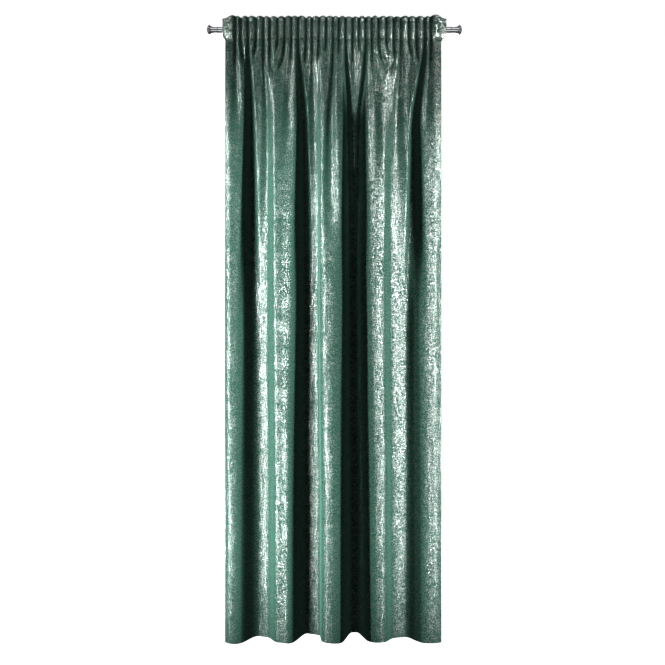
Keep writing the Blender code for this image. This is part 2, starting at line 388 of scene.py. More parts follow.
def grain(points: np.ndarray, lumps: Lumps) -> np.ndarray:
    """Reads smooth noise over the cloth.

    Args:
        points: Places on the cloth, as rows of x and z in metres.
        lumps: How much it adds, and the size of its lumps.

    Returns:
        What it adds at each place.
    """
    places = ((x / lumps.across, z / lumps.along, lumps.seed) for x, z in points)
    return lumps.amount * np.array([noise.noise(Vector(place)) for place in places])


def linear(code: str) -> tuple[float, float, float, float]:
    """Turns an sRGB hex colour such as "#1c4438" to linear RGBA."""
    parts = [int(code[k : k + 2], 16) / 255 for k in (1, 3, 5)]
    values = [v / 12.92 if v <= 0.04045 else ((v + 0.055) / 1.055) ** 2.4 for v in parts]
    return (values[0], values[1], values[2], 1.0)


def add_node(
    tree: bpy.types.NodeTree, kind: str, links: Optional[dict] = None, **settings: Any
) -> bpy.types.Node:
    """Adds a shader node with its settings and links.

    Args:
        tree: The tree that gets the node.
        kind: The node's type, without the ShaderNode that they all start with.
        links: An output or a plain value for each input, by its name or place.
        **settings: The node's own properties.

    Returns:
        The new node.
    """
    node = tree.nodes.new("ShaderNode" + kind)
    for name, value in settings.items():
        setattr(node, name, value)
    for key, value in (links or {}).items():
        if isinstance(value, bpy.types.NodeSocket):
            tree.links.new(value, node.inputs[key])
        else:
            node.inputs[key].default_value = value
    return node


def bare_material(name: str) -> tuple[bpy.types.Material, bpy.types.NodeTree]:
    """Makes a material whose tree holds nothing.

    Args:
        name: The material's name.

    Returns:
        The material and its tree.
    """
    material = bpy.data.materials.new(name)
    material.use_nodes = True
    material.node_tree.nodes.clear()
    return material, material.node_tree


def close_tree(tree: bpy.types.NodeTree, links: dict) -> None:
    """Ends a material's tree in one Principled shader with these inputs."""
    shader = add_node(tree, "BsdfPrincipled", links)
    add_node(tree, "OutputMaterial", {"Surface": shader.outputs["BSDF"]})


@dataclass(frozen=True)
class FoilPrintedVelvet:
    """Polyester velvet with a transferred silver foil that has crackled.

    The cut pile is near black seen head on and glows green at a grazing angle.
    The foil lies on the tips of the pile in small broken flakes, which shine
    like metal where each one happens to face the light. The flakes and the
    specks that fray them are drawn coarser than real, or they would not show.
    """

    name: str = "foil_printed_velvet"
    deep: str = "#0b231c"
    nap: str = "#2a6151"
    glow: str = "#a0ffe0"
    foil: str = "#b4beb9"
    sheen: float = 1.0
    sheen_roughness: float = 0.7
    pile_roughness: float = 0.85
    pile_shine: float = 0.2
    bright_foil: float = 0.22
    dull_foil: float = 0.52
    flake: float = 3.1 * MM
    speck: float = 1.9 * MM
    cluster: float = 15 * MM
    cluster_roughness: float = 0.65
    cloud: float = 45 * MM
    cloud_share: float = 0.5
    nap_patch: float = 60 * MM
    stir: float = 9.3 * MM
    warp: float = 2.0 * MM
    bare_below: float = 0.98
    foil_above: float = 1.08
    fray: float = 0.45
    crack_from: float = 0.03
    crack_to: float = 0.09
    speck_tilt: float = 0.6
    tilt_across: float = 0.32
    tilt_along: float = 0.24

    def make(self) -> bpy.types.Material:
        """Builds the material.

        Returns:
            The finished material.
        """
        material, tree = bare_material(self.name)
        place = add_node(tree, "TexCoord").outputs["Object"]
        stir = add_node(tree, "TexNoise", {"Vector": place, "Scale": 1 / self.stir, "Detail": SOFT})
        centred = add_node(tree, "VectorMath", {0: stir.outputs["Color"], 1: MID_GREY}, operation="SUBTRACT")
        pushed = add_node(tree, "VectorMath", {0: centred.outputs[0], "Scale": self.warp}, operation="SCALE")
        warped = add_node(tree, "VectorMath", {0: place, 1: pushed.outputs[0]}, operation="ADD").outputs[0]
        cells = {"Vector": warped, "Scale": 1 / self.flake}
        flakes = add_node(tree, "TexVoronoi", cells).outputs["Color"]
        cracks = add_node(tree, "TexVoronoi", cells, feature="DISTANCE_TO_EDGE").outputs["Distance"]
        specks = add_node(tree, "TexVoronoi", {"Vector": place, "Scale": 1 / self.speck}).outputs["Color"]
        cover = self.cover_of(tree, place, flakes, cracks, specks)
        patches = add_node(
            tree,
            "TexNoise",
            {"Vector": place, "Scale": 1 / self.nap_patch, "Detail": FINE, "Roughness": ROUGH},
        )
        greens = {SHARE: patches.outputs["Fac"], COLOUR_A: linear(self.deep), COLOUR_B: linear(self.nap)}
        pile = add_node(tree, "Mix", greens, data_type="RGBA").outputs[MIXED]
        layers = {SHARE: cover, COLOUR_A: pile, COLOUR_B: linear(self.foil)}
        colour = add_node(tree, "Mix", layers, data_type="RGBA").outputs[MIXED]
        chance = add_node(tree, "SeparateColor", {0: flakes}).outputs[1]
        gloss = {"Value": chance, "To Min": self.bright_foil, "To Max": self.dull_foil}
        foil_roughness = add_node(tree, "MapRange", gloss).outputs[0]
        both = {SHARE: cover, VALUE_A: self.pile_roughness, VALUE_B: foil_roughness}
        close_tree(
            tree,
            {
                "Base Color": colour,
                "Metallic": cover,
                "Roughness": add_node(tree, "Mix", both).outputs[0],
                "Normal": self.facets_of(tree, flakes, specks, cover),
                "Sheen Weight": self.sheen,
                "Sheen Roughness": self.sheen_roughness,
                "Sheen Tint": linear(self.glow),
                "Specular IOR Level": self.pile_shine,
            },
        )
        return material

    def cover_of(
        self,
        tree: bpy.types.NodeTree,
        place: bpy.types.NodeSocket,
        flakes: bpy.types.NodeSocket,
        cracks: bpy.types.NodeSocket,
        specks: bpy.types.NodeSocket,
    ) -> bpy.types.NodeSocket:
        """Works out where foil is left on the pile.

        Args:
            tree: The material's tree.
            place: Where on the cloth.
            flakes: A colour for each flake.
            cracks: How far it is to the nearest crack.
            specks: A colour for each speck, which frays the flakes.

        Returns:
            An output from 0, bare pile, to 1, foil.
        """
        clusters, clouds = (
            add_node(
                tree,
                "TexNoise",
                {"Vector": place, "Scale": 1 / size, "Detail": detail, "Roughness": roughness},
            ).outputs["Fac"]
            for size, detail, roughness in (
                (self.cluster, FINE, self.cluster_roughness),
                (self.cloud, SOFT, ROUGH),
            )
        )
        wear = {SHARE: self.cloud_share, VALUE_A: clusters, VALUE_B: clouds}
        worn = add_node(tree, "Mix", wear).outputs[0]
        chance, odd = (add_node(tree, "SeparateColor", {0: each}).outputs[0] for each in (flakes, specks))
        mixed = add_node(tree, "Mix", {SHARE: self.fray, VALUE_A: chance, VALUE_B: odd}).outputs[0]
        lifted = add_node(tree, "Math", {0: worn, 1: mixed}, operation="ADD").outputs[0]
        left, whole = (
            add_node(
                tree,
                "MapRange",
                {"Value": value, "From Min": start, "From Max": end},
                interpolation_type="SMOOTHSTEP",
            ).outputs[0]
            for value, start, end in (
                (lifted, self.bare_below, self.foil_above),
                (cracks, self.crack_from, self.crack_to),
            )
        )
        return add_node(tree, "Math", {0: left, 1: whole}, operation="MULTIPLY", use_clamp=True).outputs[0]

    def facets_of(
        self,
        tree: bpy.types.NodeTree,
        flakes: bpy.types.NodeSocket,
        specks: bpy.types.NodeSocket,
        cover: bpy.types.NodeSocket,
    ) -> bpy.types.NodeSocket:
        """Turns each flake its own way, more across the cloth than along it, so that some shine.

        Args:
            tree: The material's tree.
            flakes: A colour for each flake.
            specks: A colour for each speck.
            cover: Where foil is left.

        Returns:
            The normal's output.
        """
        colours = {SHARE: self.speck_tilt, COLOUR_A: flakes, COLOUR_B: specks}
        chance = add_node(tree, "Mix", colours, data_type="RGBA").outputs[MIXED]
        lean = add_node(tree, "VectorMath", {0: chance, 1: MID_GREY}, operation="SUBTRACT").outputs[0]
        reach = (2 * self.tilt_across, 2 * self.tilt_across, 2 * self.tilt_along)
        tilt = add_node(tree, "VectorMath", {0: lean, 1: reach}, operation="MULTIPLY").outputs[0]
        turned = add_node(tree, "VectorMath", {0: tilt, "Scale": cover}, operation="SCALE").outputs[0]
        flat = add_node(tree, "NewGeometry").outputs["Normal"]
        summed = add_node(tree, "VectorMath", {0: flat, 1: turned}, operation="ADD").outputs[0]
        return add_node(tree, "VectorMath", {0: summed}, operation="NORMALIZE").outputs[0]


@dataclass(frozen=True)
class KnittedReverse:
    """The knitted ground of the velvet, seen on its wrong side.

    It is flat and matt, a little greyer than the pile, with the fine wales of
    the knit running down it. They are drawn 4 mm apart, coarser than real, or
    they would not show.
    """

    name: str = "velvet_reverse"
    dark: str = "#173a31"
    light: str = "#2c5a4d"
    wale: float = 3.948 * MM
    wander: float = 1.5
    rib: float = 0.2 * MM
    rib_strength: float = 0.6
    patch: float = 90 * MM
    patch_share: float = 0.5
    roughness: float = 0.9
    fuzz: float = 0.2
    shine: float = 0.2

    def make(self) -> bpy.types.Material:
        """Builds the material.

        Returns:
            The finished material.
        """
        material, tree = bare_material(self.name)
        place = add_node(tree, "TexCoord").outputs["UV"]
        wales = add_node(
            tree,
            "TexWave",
            {
                "Vector": place,
                "Scale": 2 * math.pi / (STRAIGHT_WAVE * self.wale),
                "Distortion": self.wander,
                "Detail": SOFT,
            },
            bands_direction="X",
        ).outputs["Fac"]
        patches = add_node(tree, "TexNoise", {"Vector": place, "Scale": 1 / self.patch, "Detail": FINE})
        tones = {SHARE: self.patch_share, VALUE_A: wales, VALUE_B: patches.outputs["Fac"]}
        both = add_node(tree, "Mix", tones)
        colours = {SHARE: both.outputs[0], COLOUR_A: linear(self.dark), COLOUR_B: linear(self.light)}
        colour = add_node(tree, "Mix", colours, data_type="RGBA")
        ribs = add_node(tree, "Bump", {"Height": wales, "Distance": self.rib, "Strength": self.rib_strength})
        close_tree(
            tree,
            {
                "Base Color": colour.outputs[MIXED],
                "Roughness": self.roughness,
                "Normal": ribs.outputs[0],
                "Sheen Weight": self.fuzz,
                "Specular IOR Level": self.shine,
            },
        )
        return material


@dataclass(frozen=True)
class PolyesterThread:
    """Spun polyester sewing thread: a soft satin strand, a shade lighter than the cloth.

    The light and dark of its twist are drawn far coarser than real, 4.7 mm
    apart, so that the stitches vary.
    """

    name: str = "polyester_thread"
    dark: str = "#1d4a3e"
    light: str = "#3f7565"
    twist: float = 4.737 * MM
    wander: float = 1.0
    roughness: float = 0.55

    def make(self) -> bpy.types.Material:
        """Builds the material.

        Returns:
            The finished material.
        """
        material, tree = bare_material(self.name)
        strands = add_node(
            tree,
            "TexWave",
            {
                "Vector": add_node(tree, "TexCoord").outputs["Object"],
                "Scale": 2 * math.pi / (DIAGONAL_WAVE * self.twist),
                "Distortion": self.wander,
            },
            bands_direction="DIAGONAL",
        )
        colours = {SHARE: strands.outputs["Fac"], COLOUR_A: linear(self.dark), COLOUR_B: linear(self.light)}
        colour = add_node(tree, "Mix", colours, data_type="RGBA")
        close_tree(tree, {"Base Color": colour.outputs[MIXED], "Roughness": self.roughness})
        return material


@dataclass(frozen=True)
class ChromePlate:
    """Bright chrome electroplated on steel: a cool mirror with faint polishing haze."""

    name: str = "chrome_plate"
    tone: str = "#c9cccd"
    worn: str = "#b4b8ba"
    smooth: float = 0.1
    hazy: float = 0.2
    haze: float = 15 * MM
    haze_detail: float = 5.0
    haze_roughness: float = 0.7

    def make(self) -> bpy.types.Material:
        """Builds the material.

        Returns:
            The finished material.
        """
        material, tree = bare_material(self.name)
        haze = add_node(
            tree,
            "TexNoise",
            {
                "Vector": add_node(tree, "TexCoord").outputs["Object"],
                "Scale": 1 / self.haze,
                "Detail": self.haze_detail,
                "Roughness": self.haze_roughness,
            },
        ).outputs["Fac"]
        colours = {SHARE: haze, COLOUR_A: linear(self.tone), COLOUR_B: linear(self.worn)}
        colour = add_node(tree, "Mix", colours, data_type="RGBA")
        roughness = add_node(tree, "MapRange", {"Value": haze, "To Min": self.smooth, "To Max": self.hazy})
        links = {"Base Color": colour.outputs[MIXED], "Metallic": METAL, "Roughness": roughness.outputs[0]}
        close_tree(tree, links)
        return material


@dataclass(frozen=True)
class StudioPaper:
    """Seamless white background paper, lit from behind so that it stays white."""

    name: str = "studio_paper"
    tone: str = "#f4f4f2"
    light: float = 1.15

    def make(self) -> bpy.types.Material:
        """Builds the material.

        Returns:
            The finished material.
        """
        material, tree = bare_material(self.name)
        tone = linear(self.tone)
        close_tree(
            tree,
            {
                "Base Color": tone,
                "Roughness": MATT,
                "Emission Color": tone,
                "Emission Strength": self.light,
            },
        )
        return material


@dataclass(frozen=True)
class BlackCard:
    """Matt black card, which swallows the light that reaches it."""

    name: str = "black_card"
    tone: str = "#050505"

    def make(self) -> bpy.types.Material:
        """Builds the material.

        Returns:
            The finished material.
        """
        material, tree = bare_material(self.name)
        links = {"Base Color": linear(self.tone), "Roughness": MATT, "Specular IOR Level": 0.0}
        close_tree(tree, links)
        return material


def mesh_object(
    name: str,
    points: np.ndarray,
    faces: Sequence[Sequence[int]],
    materials: Sequence[bpy.types.Material],
    crease: float = 50,
) -> bpy.types.Object:
    """Makes a smooth-shaded object from points and faces.

    Args:
        name: The object's name.
        points: Its vertices, one row each.
        faces: Its faces, as indices of vertices.
        materials: Its materials, in order.
        crease: The angle in degrees from which an edge stays sharp.

    Returns:
        The object, linked to the scene.
    """
    data = bpy.data.meshes.new(name)
    data.from_pydata([tuple(p) for p in points], [], [tuple(f) for f in faces])
    for material in materials:
        data.materials.append(material)
    data.shade_smooth()
    data.set_sharp_from_angle(angle=math.radians(crease))
    piece = bpy.data.objects.new(name, data)
    bpy.context.scene.collection.objects.link(piece)
    return piece


def grid_faces(rows: int, columns: int, start: int, flip: bool) -> list[tuple[int, int, int, int]]:
    """Lists the faces of a grid of vertices.

    Args:
        rows: Rows of vertices.
        columns: Vertices in a row.
        start: The index of the first vertex.
        flip: Whether the faces look the other way.

    Returns:
        The faces, row by row.
    """
    faces = []
    for row in range(rows - 1):
        for column in range(columns - 1):
            a = start + row * columns + column
            ring = (a, a + 1, a + 1 + columns, a + columns)
            faces.append(ring[::-1] if flip else ring)
    return faces


@dataclass
class Curtain:
    """One length of velvet: hemmed, its top turned over to the back and gathered on two cord rows."""

    name: str = "velvet_curtain"
    thickness: float = 1.4 * MM
    flat_width: float = 1.40
    flat_length: float = 2.62
    top_edge: float = 44.5 * MM
    hem: float = -2455.5 * MM
    bottom_hem: float = 52 * MM
    side_hem: float = 22 * MM
    hem_bulk: float = 1.5 * MM
    upper_cord: float = 25 * MM
    lower_cord: float = -49.5 * MM
    corner_rise: float = 4 * MM
    corner_width: float = 34 * MM
    corner_drop: float = 4 * MM
    return_width: float = 43 * MM
    return_depth: float = 19 * MM
    return_ends: float = -60 * MM
    gather_depth: float = 22 * MM
    gather_half_width: float = 12.5 * MM
    gather_settles: float = 110 * MM
    gather_drifts: float = 350 * MM
    gather_holds: float = 0.45
    gather_sharpness: float = 0.7
    cord_pinch: float = 5 * MM
    cord_reach: float = 6.5 * MM
    roll_swell: float = 1.2 * MM
    top_bump: float = 2.8 * MM
    top_fold: float = 2.4 * MM
    layer_gap: float = 1.9 * MM
    fold_turns: tuple[float, ...] = (45, 90, 135)
    pocket_turns: tuple[float, ...] = (-12, 20, 52, 84, 116, 140)
    pocket_radius: float = 14.8 * MM
    pocket_fullness: float = 6 * MM
    pocket_most: float = 1.2
    pocket_steps: int = 2
    over_cord: float = 6 * MM
    under_cord: float = 4 * MM
    flap_end: float = -58 * MM
    shift_from: float = -450 * MM
    shift_over: float = 1650 * MM
    follow_down_to: float = -470 * MM
    spread_out: float = 900 * MM
    heading_reach: float = 250 * MM
    crease_taper: float = 0.5
    side_hem_edge: float = 4 * MM
    bottom_hem_edge: float = 6 * MM
    heading_dents: Lumps = Lumps(amount=2.0 * MM, across=14 * MM, along=45 * MM, seed=1.5)
    small_dents: Lumps = Lumps(amount=1.6 * MM, across=50 * MM, along=200 * MM, seed=4.5)
    drop_dents: Lumps = Lumps(amount=3.5 * MM, across=110 * MM, along=550 * MM, seed=7.5)
    sway: Lumps = Lumps(amount=3 * MM, across=2.0, along=0.7, seed=2.5)
    top_lumps: Lumps = Lumps(amount=2.8 * MM, across=21 * MM, along=1.0, seed=9.5)
    pocket_lumps: Lumps = Lumps(amount=0.3, across=17 * MM, along=1.0, seed=12.5)
    per_gather: int = 9
    per_return: int = 9
    frill_rows: int = 6
    hem_samples: int = 2000
    sharp_from: float = 55

    def __post_init__(self) -> None:
        """Reads the tables into curves."""
        self.front_at = level_curve("front", MM)
        self.fold_share_at = level_curve("folds", 1)
        self.left_at = level_curve("left", MM)
        self.right_at = level_curve("right", MM)
        self.hem_fold_at = hem_fold_curve()

    def valley_centre(self, gather: Gather, height: Any) -> Any:
        """Returns where one valley is across the cloth."""
        below = np.maximum(self.lower_cord - height, 0)
        drift = ease(below / min(self.gather_drifts, gather.runs * MM))
        return (gather.at + (gather.low - gather.at) * drift) * MM

    def gather_valley(self, gather: Gather, across: Any, height: Any) -> Any:
        """Works out how far one valley sets the cloth back.

        Args:
            gather: The valley.
            across: Places across the cloth.
            height: Their heights.

        Returns:
            The distance back, in metres.
        """
        below = np.maximum(self.lower_cord - height, 0)
        runs = gather.runs * MM
        settled = ease(below / min(self.gather_settles, runs))
        depth = self.gather_depth + (gather.depth * MM - self.gather_depth) * settled
        fading = ease((below / runs - self.gather_holds) / (1 - self.gather_holds))
        width = self.gather_half_width + gather.widens * MM * below
        sharpness = 1 + self.gather_sharpness * (1 - ease(below / self.gather_settles))
        shape = bell((across - self.valley_centre(gather, height)) / width)
        return depth * (1 - fading) * shape**sharpness

    def end_return(self, across: Any, height: Any) -> Any:
        """Returns how far the two ends of the heading turn back towards the rod."""
        share = 1 - ease((height - self.lower_cord) / (self.return_ends - self.lower_cord))
        from_end = np.minimum(across - self.left_at(height), self.right_at(height) - across)
        return self.return_depth * share * ease(1 - from_end / self.return_width)

    def valleys_y(self, across: Any, height: Any) -> Any:
        """Returns how far all the gathers' valleys set the cloth back."""
        return sum(self.gather_valley(gather, across, height) for gather in GATHERS)

    def valley_share(self, across: Any, height: Any) -> Any:
        """Returns 1 deep in the gathers' valleys and 0 on the ridges between them."""
        return np.clip(self.valleys_y(across, height) / self.gather_depth, 0, 1)

    def crease_y(self, crease: Crease, across: np.ndarray, height: np.ndarray) -> np.ndarray:
        """Works out how far one crease sets the cloth back.

        Args:
            crease: The crease.
            across: Places across the cloth.
            height: Their heights.

        Returns:
            The distance back, in metres.
        """
        start = np.array([crease.x, crease.z]) * MM
        run = np.array([crease.end_x, crease.end_z]) * MM - start
        away = np.stack([across, height], axis=-1) - start
        share = np.clip(away @ run / (run @ run), 0, 1)
        off = np.linalg.norm(away - share[..., None] * run, axis=-1)
        taper = bell(2 * share - 1) ** self.crease_taper
        return crease.depth * MM * bell(off / (crease.width * MM)) * taper

    def relief(self, across: np.ndarray, height: np.ndarray) -> np.ndarray:
        """Adds what the plain folds leave out: pinched cord rows, creases and soft dents.

        Args:
            across: Places across the cloth.
            height: Their heights.

        Returns:
            How far each place is set back, in metres.
        """
        places = np.stack([across, height], axis=-1)
        ridge = 1 - self.valley_share(across, height)
        y = np.zeros(len(across))
        for cord in (self.upper_cord, self.lower_cord):
            y = y + self.cord_pinch * ridge * np.exp(-(((height - cord) / self.cord_reach) ** 2))
        middle = (self.upper_cord + self.lower_cord) / 2
        half = (self.upper_cord - self.lower_cord) / 2
        y = y - self.roll_swell * ridge * bell((height - middle) / half)
        near_heading = np.exp(-np.maximum(self.lower_cord - height, 0) / self.heading_reach)
        y = y + near_heading * grain(places, self.heading_dents) + grain(places, self.small_dents)
        y = y + (1 - near_heading) * grain(places, self.drop_dents)
        for crease in CREASES:
            y = y + self.crease_y(crease, across, height)
        return y

    def surface(self, across: np.ndarray, height: np.ndarray) -> np.ndarray:
        """Finds points of the middle of the cloth's front layer.

        Args:
            across: Places across the cloth.
            height: Their heights.

        Returns:
            The points, one row each.
        """
        high = [fold.high * MM for fold in HEM_FOLDS]
        shift = [(fold.at - fold.high) * MM for fold in HEM_FOLDS]
        settled = 1 - ease((self.shift_from - height) / self.shift_over)
        sway = grain(np.stack([np.ones(len(height)), height], axis=-1), self.sway)
        folds = self.fold_share_at(height)
        swayed = across + np.interp(across, high, shift) * settled + folds * sway
        y = self.front_at(height) + folds * self.hem_fold_at(swayed)
        y = y + self.valleys_y(across, height) + self.end_return(across, height)
        return np.stack([across, y + self.relief(across, height), height], axis=-1)

    def heading_columns(self) -> np.ndarray:
        """Returns places across the heading, the same number between each two valleys."""
        valleys = [gather.at * MM for gather in GATHERS]
        columns = list(np.linspace(self.left_at(0.0), valleys[0], self.per_return + 1)[:-1])
        for start, end in zip(valleys, valleys[1:]):
            columns += list(np.linspace(start, end, self.per_gather + 1)[:-1])
        columns += list(np.linspace(valleys[-1], self.right_at(0.0), self.per_return + 1))
        return np.array(columns)

    def hem_columns(self, count: int) -> np.ndarray:
        """Returns places across the hem that are evenly spaced along the folded cloth."""
        across = np.linspace(self.left_at(self.hem), self.right_at(self.hem), self.hem_samples)
        steps = np.hypot(np.diff(across), np.diff(self.hem_fold_at(across)))
        walked = np.concatenate([[0], np.cumsum(steps)])
        return np.interp(np.linspace(0, walked[-1], count), walked, across)

    def columns_at(self, height: float) -> np.ndarray:
        """Places the mesh's columns at one height.

        Args:
            height: The height.

        Returns:
            The columns' X: they follow the long valleys, then the hem's folds.
        """
        top = self.heading_columns()
        long_ones = [gather for gather in GATHERS if gather.runs * MM > self.gather_drifts]
        starts = [top[0], *(gather.at * MM for gather in long_ones), top[-1]]
        places = [self.valley_centre(gather, height) for gather in long_ones]
        followed = np.interp(top, starts, [self.left_at(height), *places, self.right_at(height)])
        spread = ease((self.follow_down_to - height) / self.spread_out)
        return followed + (self.hem_columns(len(top)) - followed) * spread

    def top_of(self, across: np.ndarray) -> np.ndarray:
        """Finds the height of the cloth's top edge.

        Args:
            across: Places across the cloth.

        Returns:
            The height at each place: it rises at the corners and over each gather.
        """
        reach = self.right_at(self.top_edge) - self.return_width
        off = np.abs(across) - reach
        height = self.top_edge + self.corner_rise * bell(off / self.corner_width)
        height = height - self.corner_drop * ease(off / self.return_width)
        level = np.full(len(across), self.top_edge)
        lumps = grain(np.stack([across, level], axis=-1), self.top_lumps)
        return height + self.top_bump * self.valley_share(across, level) + lumps

    def front_rows(self) -> list[np.ndarray]:
        """Builds the front layer, from the hem up to just under the top edge.

        Returns:
            Rows of points.
        """
        heights: list[float] = []
        high = self.upper_cord
        for band in ROW_BANDS:
            count = max(1, round((high - band.low * MM) / (band.step * MM)))
            heights += list(np.linspace(high, band.low * MM, count + 1)[:-1])
            high = band.low * MM
        heights.append(self.hem)
        shares = np.linspace(0, 1, self.frill_rows + 1)[1:]
        return [self.front_row(z) for z in reversed(heights)] + [self.frill_row(share) for share in shares]

    def front_row(self, height: float) -> np.ndarray:
        """Returns the front layer's row of points at one height."""
        across = self.columns_at(height)
        return self.surface(across, np.full(len(across), height))

    def frill_row(self, share: float) -> np.ndarray:
        """Returns a row between the upper cord, share 0, and the top edge, share 1."""
        across = self.columns_at(self.upper_cord)
        top = self.top_of(across) - self.top_fold
        return self.surface(across, self.upper_cord + (top - self.upper_cord) * share)

    def normals_of(self, grid: np.ndarray) -> np.ndarray:
        """Returns the normals of a grid of points, which face the room on the front layer."""
        normals = np.cross(np.gradient(grid, axis=1), np.gradient(grid, axis=0))
        return normals / np.linalg.norm(normals, axis=2)[:, :, None]

    def behind(self, heights: Sequence[float], gap: float) -> list[np.ndarray]:
        """Builds rows that lie flat on the back of the front layer.

        Args:
            heights: The rows' heights, falling.
            gap: How far they are behind it.

        Returns:
            Rows of points.
        """
        rows = []
        for height in heights:
            near = np.array([self.front_row(z) for z in (height - MM, height, height + MM)])
            rows.append(near[1] - gap * self.normals_of(near)[1])
        return rows

    def flap_rows(self, front: np.ndarray) -> list[np.ndarray]:
        """Builds the turned-over top: over the fold, down the frill and round behind the rod.

        Args:
            front: The grid of the front layer.

        Returns:
            Rows of points, from the top edge to the flap's cut end.
        """
        normals = self.normals_of(front)
        edge, outward = front[-1], normals[-1]
        rows = []
        for angle in self.fold_turns:
            turn = math.radians(angle)
            lift = np.array([0, 0, self.top_fold * math.sin(turn)])
            rows.append(edge - outward * self.top_fold * (1 - math.cos(turn)) + lift)
        for k, share in zip(range(1, self.frill_rows + 1), np.linspace(1, 0, self.frill_rows)):
            gap = self.layer_gap + (2 * self.top_fold - self.layer_gap) * share
            rows.append(front[-k] - normals[-k] * gap)
        across = self.columns_at(0.0)
        ridge = 1 - self.valley_share(across, np.zeros(len(across)))
        lumps = grain(np.stack([across, across * 0], axis=-1), self.pocket_lumps)
        radius = self.pocket_radius + self.pocket_fullness * np.clip(ridge + lumps, 0, self.pocket_most)
        knots = [rows[-2], rows[-1]]
        for angle in self.pocket_turns:
            turn = math.radians(angle)
            knots.append(np.stack([across, radius * math.sin(turn), radius * math.cos(turn)], axis=-1))
        knots += self.behind((self.lower_cord + self.over_cord, self.lower_cord), self.layer_gap)
        rows += self.smooth_between(np.array(knots), self.pocket_steps)
        return rows + self.behind((self.lower_cord - self.under_cord, self.flap_end), self.layer_gap)

    def smooth_between(self, knots: np.ndarray, steps: int) -> list[np.ndarray]:
        """Adds rows between rows, on smooth Catmull-Rom curves through them.

        Args:
            knots: The rows. The first only gives the curves their start.
            steps: How many rows come from each.

        Returns:
            The rows after the second, up to the last.
        """
        rows = []
        after = np.concatenate([knots, knots[-1:]])
        for k in range(1, len(knots) - 1):
            p0, p1, p2, p3 = after[k - 1 : k + 3]
            for step in range(1, steps + 1):
                t = step / steps
                bend = (2 * p0 - 5 * p1 + 4 * p2 - p3) * t**2 + (3 * p1 - p0 - 3 * p2 + p3) * t**3
                rows.append(p1 + ((p2 - p0) * t + bend) / 2)
        return rows

    def bulk_of(self, grid: np.ndarray, front_rows: int) -> np.ndarray:
        """Finds how much thicker the folded hems are than the cloth.

        Args:
            grid: The whole grid of the middle of the cloth.
            front_rows: How many of its rows are the front layer.

        Returns:
            The extra thickness on the reverse at each vertex.
        """
        walked = np.cumsum(np.linalg.norm(np.diff(grid, axis=1), axis=2), axis=1)
        walked = np.concatenate([np.zeros((len(grid), 1)), walked], axis=1)
        from_side = np.minimum(walked, walked[:, -1:] - walked)
        side = ease((self.side_hem - from_side) / self.side_hem_edge + 1)
        low = ease((self.hem + self.bottom_hem - grid[:, :, 2]) / self.bottom_hem_edge + 1)
        bulk = self.hem_bulk * np.maximum(side, low)
        bulk[front_rows:] *= 0
        return bulk

    def build(self, printed: bpy.types.Material, reverse: bpy.types.Material) -> bpy.types.Object:
        """Builds the cloth as one thin closed sheet.

        Args:
            printed: The material of its right side.
            reverse: The material of its wrong side.

        Returns:
            The piece.
        """
        front = np.array(self.front_rows())
        grid = np.concatenate([front, np.array(self.flap_rows(front))])
        self.grid = grid
        self.normals = self.normals_of(grid)
        rows, columns = grid.shape[:2]
        bulk = self.bulk_of(grid, len(front))
        right_side = grid + self.normals * self.thickness / 2
        wrong_side = grid - self.normals * (self.thickness / 2 + bulk)[:, :, None]
        points = np.concatenate([right_side.reshape(-1, 3), wrong_side.reshape(-1, 3)])
        total = rows * columns
        faces = grid_faces(rows, columns, 0, flip=False) + grid_faces(rows, columns, total, flip=True)
        plain = len(faces) // 2
        for column, flip in ((0, False), (columns - 1, True)):
            for row in range(rows - 1):
                a = row * columns + column
                ring = (a, a + columns, a + columns + total, a + total)
                faces.append(ring[::-1] if flip else ring)
        for row, flip in ((0, True), (rows - 1, False)):
            for column in range(columns - 1):
                a = row * columns + column
                ring = (a, a + 1, a + 1 + total, a + total)
                faces.append(ring[::-1] if flip else ring)
        piece = mesh_object(self.name, points, faces, (printed, reverse), crease=self.sharp_from)
        turned = (bulk[:-1, :-1] > self.hem_bulk / 2).ravel()
        spots = np.zeros(len(faces), np.int32)
        spots[plain : 2 * plain] = np.where(turned, Spot.PRINTED.value, Spot.REVERSE.value)
        piece.data.polygons.foreach_set("material_index", spots)
        self.lay_flat(piece, rows, columns)
        return piece

    def lay_flat(self, piece: bpy.types.Object, rows: int, columns: int) -> None:
        """Gives the mesh the places on the flat cut as its UV map, in metres.

        Args:
            piece: The curtain.
            rows: Rows of the grid.
            columns: Columns of the grid.
        """
        walked = np.linalg.norm(np.diff(self.grid, axis=0), axis=2).mean(axis=1)
        along = np.concatenate([[0], np.cumsum(walked)])
        along *= self.flat_length / along[-1]
        across = np.linspace(0, self.flat_width, columns)
        flat = np.stack(np.meshgrid(across, along), axis=-1).reshape(-1, 2)
        layer = piece.data.uv_layers.new(name="flat_cut")
        corners = np.zeros(len(piece.data.loops), np.int32)
        piece.data.loops.foreach_get("vertex_index", corners)
        layer.data.foreach_set("uv", flat[corners % len(flat)].ravel())


